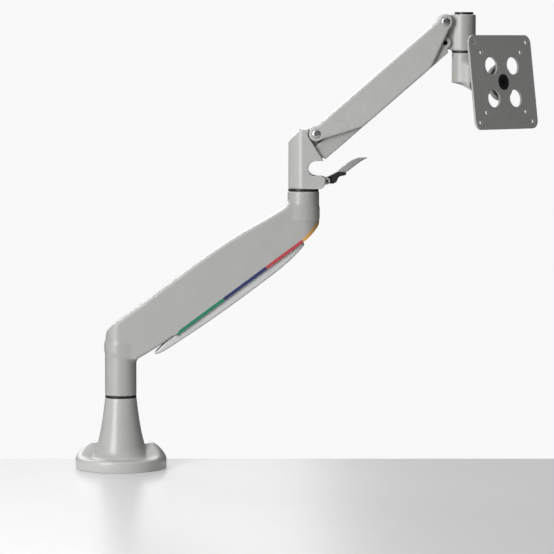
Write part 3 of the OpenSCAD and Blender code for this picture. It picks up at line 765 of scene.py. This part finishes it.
def upper_arm():
    """A deep channel, open below, with its ends cut back from the pivots."""
    boss, skirt, slope = 9.5, 32.0, math.radians(24)
    edge = boss - 0.9
    run = (skirt - edge * math.cos(slope)) / math.tan(slope) - edge * math.sin(slope)
    g = Grid([-10, -WALL_OUT, -33], [LINK_L + 10, WALL_OUT, 10], 1.0)
    side = path([-edge * math.sin(slope), -edge * math.cos(slope)], [run - 4, -skirt + 1.8],
                cubic([run - 4, -skirt + 1.8], [run - 1.5, -skirt + 0.6], [run + 1, -skirt],
                      [run + 5, -skirt], 4),
                [LINK_L - run - 5, -skirt],
                cubic([LINK_L - run - 5, -skirt], [LINK_L - run - 1, -skirt],
                      [LINK_L - run + 1.5, -skirt + 0.6], [LINK_L - run + 4, -skirt + 1.8], 4),
                [LINK_L + edge * math.sin(slope), -edge * math.cos(slope)],
                [LINK_L, 6.5], [0, 6.5])
    profile = outline(side, g.x, g.z)
    for s in (0, LINK_L):
        profile = round_or(profile, rod_y(g, s, 0, boss), 1.5)
    outer = round_and(profile, np.abs(g.y) - WALL_OUT, 2.6)
    inside = np.maximum(np.abs(g.y) - WALL_IN, g.z - 3.5)
    ends = np.maximum(np.abs(g.y) - WALL_IN, np.minimum(g.x - 16, LINK_L - 16 - g.x))
    field = cut(cut(outer, inside, 1.0), ends, 1.0)
    # the channel wears the lighter copy of arm_paint, painted light
    piece(solid("upper_arm_channel", g, field, IN_ARM), "upper_arm", "arm_paint",
          ["upper_arm_shell"], "arm_paint_painted_light")


def lower_link():
    g = Grid([-9, -14, -13], [LINK_L + 9, 14, 10], 1.0)
    side = path([5, -12], [LINK_L - 5, -12], [LINK_L, 6], [60, 6], [44, 9.2], [0, 9.2])
    profile = outline(side, g.x, g.z)
    for s in (0, LINK_L):
        profile = round_or(profile, rod_y(g, s, 0, 8.0), 3.0)
    outer = round_and(profile, np.abs(g.y) - 13.7, 2.0)
    inside = np.maximum(np.abs(g.y) - 11, -9.5 - g.z)
    ends = np.maximum(np.abs(g.y) - 11, np.minimum(g.x - 20, LINK_L - 20 - g.x))
    piece(solid("lower_link_channel", g, cut(cut(outer, inside, 0.8), ends, 0.8), IN_LINK),
          "lower_link", "zinc", ["lower_link"])


upper_arm()
lower_link()

# ------------------------------------------------------------------ front yoke and head


def front_yoke():
    low, high = corners("front_bush")[0][2], corners("front_bush")[1][2]
    qu = np.array([FRONT_UP[0], FRONT_UP[2]])
    ql = qu - [0, PIVOT_GAP]
    g = Grid([qu[0] - 9, -15, low], [PAN[0] + 15, 15, high], 0.9)
    sleeve = round_and(rod_z(g, PAN[0], 0, 15.0), between(g.z, low, high), 1.2)
    web = path(ql + [-7, 0], ql + [0, -8], [PAN[0] - 4, low + 0.5], [PAN[0] - 4, high - 0.5],
               qu + [0, 8.5], qu + [-7, 0])
    field = round_or(sleeve, round_and(outline(web, g.x, g.z), np.abs(g.y) - 10.4, 1.5), 3.0)
    lug = round_and(rod_y(g, qu[0], qu[1], 8.5), np.abs(g.y) - 13.9, 0.8)
    foot_lug = round_and(rod_y(g, ql[0], ql[1], 8.0), np.abs(g.y) - 10.4, 0.8)
    field = np.minimum(round_or(field, lug, 1.5), foot_lug)
    field = np.maximum(field, between(g.z, low, high))
    field = cut(field, rod_z(g, PAN[0], 0, 10.0), 0.4)
    piece(solid("front_yoke_casting", g, field), "front_yoke", "arm_paint", ["front_yoke"])


def knuckle():
    """The head's knuckle, from the pan shaft down to the tilt axis."""
    top = corners("front_ring")[0][2] - 0.1
    z = TILT[2]
    reach = math.hypot(TILT[0] - PAN[0], TILT[1])
    g = Grid([-15, -15, z - 12], [reach + 12, 15, top], 0.9)
    post = round_and(rod_z(g, 0, 0, 15.0), between(g.z, z + 3, top), 1.2)
    neck = path([-8, z + 5], [reach - 4, z - 11], [reach, z + 11], [14, z + 27], [-8, z + 27])
    neck_field = round_and(outline(neck, g.x, g.z), np.abs(g.y) - 9.0, 2.0)
    barrel = round_and(rod_y(g, reach, z, 11.0), np.abs(g.y) - 9.0, 0.9)
    field = round_or(round_or(post, neck_field, 5.0), barrel, 2.0)
    field = np.maximum(field, np.where(g.x > reach - 4, np.abs(g.y) - 9.0, -50.0))
    field = np.maximum(field, g.z - top)
    piece(solid("head_knuckle_casting", g, field, IN_HEAD), "head", "arm_paint", ["head_knuckle"])


def tilt_bracket():
    back = PLATE_X - 9.0
    g = Grid([-11, -23, -23], [back + 5, 23, 23], 0.9)
    ears = between(np.abs(g.y), 9.8, 14.5)
    arm = round_and(np.minimum(rod_y(g, 0, 0, 11.0),
                               np.maximum(between(g.x, 0, back + 2), np.abs(g.z) - 11)), ears, 1.0)
    disc = round_and(rod_x(g, 0, 0, 23.0), between(g.x, back, back + 5), 1.2)
    field = round_or(arm, disc, 3.0)
    field = np.maximum(field, g.x - back - 5)
    field = np.maximum(field, -np.maximum(np.abs(g.y) - 9.8, g.x - back))
    field = cut(field, rod_x(g, 0, 0, 6.0), 0.4)
    piece(solid("tilt_fork", g, field, IN_TILT), "tilt", "arm_paint", ["tilt_bracket"])


def mounting_plate():
    """The square plate, drawn as a flat curve with its holes and a rounded rim."""
    low_x, thick, half, bevel = PLATE_X - 3.0, 3.0, 59.0, 0.5
    curve = bpy.data.curves.new("mounting_plate", "CURVE")
    curve.dimensions = "2D"
    curve.fill_mode = "BOTH"
    curve.extrude = (thick / 2 - bevel) * MM
    curve.bevel_depth = bevel * MM
    curve.bevel_resolution = 2

    def loop(points):
        spline = curve.splines.new("POLY")
        spline.points.add(len(points) - 1)
        for slot, p in zip(spline.points, points):
            slot.co = (p[0] * MM, p[1] * MM, 0, 1)
        spline.use_cyclic_u = True

    inset = half - bevel
    corner = 10.0
    rim = []
    for k, (sx, sy) in enumerate(((1, 1), (-1, 1), (-1, -1), (1, -1))):
        centre = (sx * (inset - corner), sy * (inset - corner))
        rim += arc(centre, corner, 90 * k, 90 * k + 90, 10)
    loop(rim)
    holes = [(sx * h, sy * h, 2.4) for h in (50, 37.5) for sx in (-1, 1) for sy in (-1, 1)]
    holes += [(29 * sx * math.sqrt(0.5), 29 * sy * math.sqrt(0.5), 11.0)
              for sx in (-1, 1) for sy in (-1, 1)]
    for x, y, r in holes + [(0, 0, 9.6)]:
        loop(arc((x, y), r + bevel, 0, 360, 40)[:-1])
    obj = bpy.data.objects.new("mounting_plate_curve", curve)
    bpy.context.scene.collection.objects.link(obj)
    bpy.context.view_layer.update()
    mesh = bpy.data.meshes.new_from_object(obj.evaluated_get(bpy.context.evaluated_depsgraph_get()))
    bpy.data.objects.remove(obj)
    plate = bpy.data.objects.new("mounting_plate", mesh)
    bpy.context.scene.collection.objects.link(plate)
    upright = Matrix(((0, 0, 1, 0), (1, 0, 0, 0), (0, 1, 0, 0), (0, 0, 0, 1)))
    shift = Matrix.Translation(Vector((low_x + thick / 2, 0, 0)))
    place = IN_TILT @ shift
    place.translation *= MM
    mesh.transform(place @ upright)
    for polygon in mesh.polygons:
        polygon.use_smooth = True
    smooth_by_angle(plate, 30)
    piece(plate, "plate", "arm_paint", ["vesa_plate"])


front_yoke()
knuckle()
tilt_bracket()
mounting_plate()

# ------------------------------------------------------------------ desk clamp


def clamp_bracket():
    """One bent steel strip: flange under the foot, leg behind the desk's edge, jaw below it."""
    low, high = corners("clamp_bracket")
    edge = DESK_EDGE
    jaw = low[2] + STRIP_T
    flange = (2.0, 8.0)
    bend = 7.0
    outer = path([-40, flange[1]], arc((edge + STRIP_T - bend, flange[1] - bend), bend, 90, 0, 8),
                 arc((edge + STRIP_T - bend, low[2] + bend), bend, 0, -90, 8), [0, low[2]], [0, jaw],
                 arc((edge - 1.5, jaw + 1.5), 1.5, -90, 0, 4),
                 arc((edge - 1.5, flange[0] - 1.5), 1.5, 0, 90, 4),
                 [-40, flange[0]])
    g = Grid([-32, -40, low[2]], [32, high[1], high[2]], 1.1)
    field = round_and(outline(outer, g.y, g.z), np.abs(g.x) - 32, 0.8)
    field = np.maximum(field, round_and(np.abs(g.x) - 32, -40 - g.y, 0.8))
    nose = round_and(np.abs(g.x) - 32, -g.y, 10.0)
    field = np.where(np.broadcast_to(g.z < jaw + 2, field.shape), np.maximum(field, nose), field)
    screw_y = joint_at("clamp_turn")[1]
    field = cut(field, np.maximum(rod_z(g, 0, screw_y, 9.0), g.z - jaw - 2), 0.4)
    field = cut(field, np.maximum(rod_z(g, 0, 0, 9.0), -g.z), 0.4)
    piece(solid("clamp_strip", g, field), "base", "bracket_paint", ["clamp_bracket"])


def threaded(name, centre, r, z0, z1, pitch, depth):
    """A rod with a true helical thread."""
    around, per_turn = 40, 10
    rows = int((z1 - z0) / pitch * per_turn) + 1
    points, faces = [], []
    for i in range(rows):
        z = z0 + (z1 - z0) * i / (rows - 1)
        fade = min(1.0, (z - z0) / 2.0, (z1 - z) / 2.0)
        for k in range(around):
            a = 2 * math.pi * k / around
            phase = (z / pitch - k / around) % 1.0
            groove = max(0.0, 1 - abs(phase - 0.5) / 0.38)
            radius = r - depth * groove - 0.6 * (1 - max(0.0, fade)) ** 2
            points.append((centre[0] + radius * math.cos(a), centre[1] + radius * math.sin(a), z))
    for i in range(rows - 1):
        for k in range(around):
            j = (k + 1) % around
            faces.append((i * around + k, i * around + j, (i + 1) * around + j, (i + 1) * around + k))
    faces.append(tuple(range(around))[::-1])
    faces.append(tuple((rows - 1) * around + k for k in range(around)))
    return smooth_by_angle(new_object(name, points, faces), 50)


def clamp_screw():
    at = joint_at("clamp_turn")
    low, high = corners("clamp_spindle")
    rod = threaded("clamp_spindle_thread", at, 5.0, low[2], high[2], 5.0, 0.9)
    piece(rod, "clamp_screw", "steel", ["clamp_spindle"])
    low, high = corners("clamp_knob")
    g = Grid([-24, -24, low[2]], [24, 24, high[2]], 0.9)
    angle = np.arctan2(g.y, g.x)
    wheel = np.hypot(g.x, g.y) - (20.6 + 2.4 * np.cos(6 * angle))
    wheel = round_and(wheel, between(g.z, low[2], high[2] - 6), 3.0)
    hub = round_and(np.hypot(g.x, g.y) - 12, between(g.z, high[2] - 10, high[2]), 1.5)
    field = round_or(wheel, hub, 2.0)
    field = cut(field, np.maximum(np.hypot(g.x, g.y) - 9.0, g.z - low[2] - 1.5), 0.8)
    place = Matrix.Translation(Vector((at[0], at[1], 0)))
    piece(solid("clamp_knob_moulding", g, field, place), "clamp_screw", "black_plastic", ["clamp_knob"])


def clamp_pad():
    at = joint_at("clamp_turn")
    low, high = corners("clamp_pad")
    top = high[2]
    section = [(5.1, low[2]), (8.4, low[2]), (9, low[2] + 0.6), (9, top - 4.6), (10.5, top - 3),
               (18.2, top - 3), (19, top - 2.4), (19, top - 0.5), (18.5, top), (0, top),
               (0, top - 0.9), (5.1, top - 0.9)]
    piece(lathe("clamp_pad_disc", section, (at[0], at[1], 0), 72, closed=True), "clamp_pad", "steel",
          ["clamp_pad"])
    low, high = corners("clamp_pad_rubber")
    rows = [(0, low[2]), (18, low[2]), (18.5, low[2] + 0.5), (18.5, high[2] - 0.5), (18, high[2])]
    for r in (16, 13, 10, 7):
        rows += [(r + 0.6, high[2]), (r + 0.3, high[2] - 0.6), (r - 0.3, high[2] - 0.6), (r - 0.6, high[2])]
    rows += [(0, high[2])]
    piece(lathe("clamp_pad_face", rows, (at[0], at[1], 0), 72), "clamp_pad", "rubber",
          ["clamp_pad_rubber"])


clamp_bracket()
clamp_screw()
clamp_pad()

# ------------------------------------------------------------------ stage, light, camera


def stage():
    """A pale slab for the desk top, its far edge in the clamp."""
    thick = -corners("clamp_pad_rubber")[1][2]
    points = [(x, y, z) for z in (-thick + 0.2, -0.05) for x, y in
              ((-4000, -3000), (5000, -3000), (5000, DESK_EDGE - 0.2), (-4000, DESK_EDGE - 0.2))]
    faces = [(3, 2, 1, 0), (4, 5, 6, 7), (0, 1, 5, 4), (1, 2, 6, 5), (2, 3, 7, 6), (3, 0, 4, 7)]
    slab = new_object("floor", points, faces)
    for polygon in slab.data.polygons:
        polygon.use_smooth = False
    finish = material("floor_finish", (0.57, 0.57, 0.57), 0.30, mottle=0.01, smudge=0.01,
                      specular=0.05)
    shader = finish.node_tree.nodes["Principled BSDF"]
    shader.inputs["Emission Color"].default_value = (1, 1, 1, 1)
    shader.inputs["Emission Strength"].default_value = 0.16
    slab.data.materials.append(finish)


def area_light(name, at, target, size, power):
    data = bpy.data.lights.new(name, "AREA")
    data.shape = "RECTANGLE"
    data.size, data.size_y = size
    data.energy = power
    light = bpy.data.objects.new(name, data)
    light.location = Vector(at) * MM
    light.rotation_euler = (Vector(target) - Vector(at)).to_track_quat("-Z", "Y").to_euler()
    light.visible_camera = False
    bpy.context.scene.collection.objects.link(light)


def studio_world():
    """Soft light, brightest from the front left; the camera itself sees plain white paper."""
    world = bpy.data.worlds.new("studio")
    bpy.context.scene.world = world
    world.use_nodes = True
    nodes, links = world.node_tree.nodes, world.node_tree.links
    light = nodes["Background"]
    place = nodes.new("ShaderNodeTexCoord")
    facing = nodes.new("ShaderNodeVectorMath")
    facing.operation = "DOT_PRODUCT"
    facing.inputs[1].default_value = Vector((-0.50, -0.74, 0.45)).normalized()
    links.new(place.outputs["Generated"], facing.inputs[0])
    level = nodes.new("ShaderNodeMapRange")
    level.inputs["From Min"].default_value = -0.75
    level.inputs["From Max"].default_value = 1.0
    level.inputs["To Min"].default_value = 0.25
    level.inputs["To Max"].default_value = 1.56
    links.new(facing.outputs["Value"], level.inputs["Value"])
    links.new(level.outputs["Result"], light.inputs["Strength"])
    paper = nodes.new("ShaderNodeBackground")
    paper.inputs["Color"].default_value = (0.945, 0.945, 0.95, 1)
    ray = nodes.new("ShaderNodeLightPath")
    mix = nodes.new("ShaderNodeMixShader")
    links.new(ray.outputs["Is Camera Ray"], mix.inputs[0])
    links.new(light.outputs[0], mix.inputs[1])
    links.new(paper.outputs[0], mix.inputs[2])
    links.new(mix.outputs[0], nodes["World Output"].inputs["Surface"])


def lights():
    middle = (200, 0, 250)
    area_light("key", (-1700, -2300, 1250), middle, (1.3, 2.8), 94)
    area_light("top", (500, -100, 2400), middle, (3.0, 2.0), 24)
    area_light("rear", (-700, 2500, 1500), middle, (2.4, 2.0), 55)
    studio_world()
    bpy.context.scene.view_settings.view_transform = "Standard"


def camera():
    data = bpy.data.cameras.new("camera")
    data.lens = 195
    data.sensor_width = 36
    data.clip_end = 100
    cam = bpy.data.objects.new("camera", data)
    cam.location = Vector((199, -3800, 540)) * MM
    cam.rotation_euler = (math.radians(90 - 4.46), 0, 0)
    bpy.context.scene.collection.objects.link(cam)
    bpy.context.scene.camera = cam


stage()
lights()
camera()
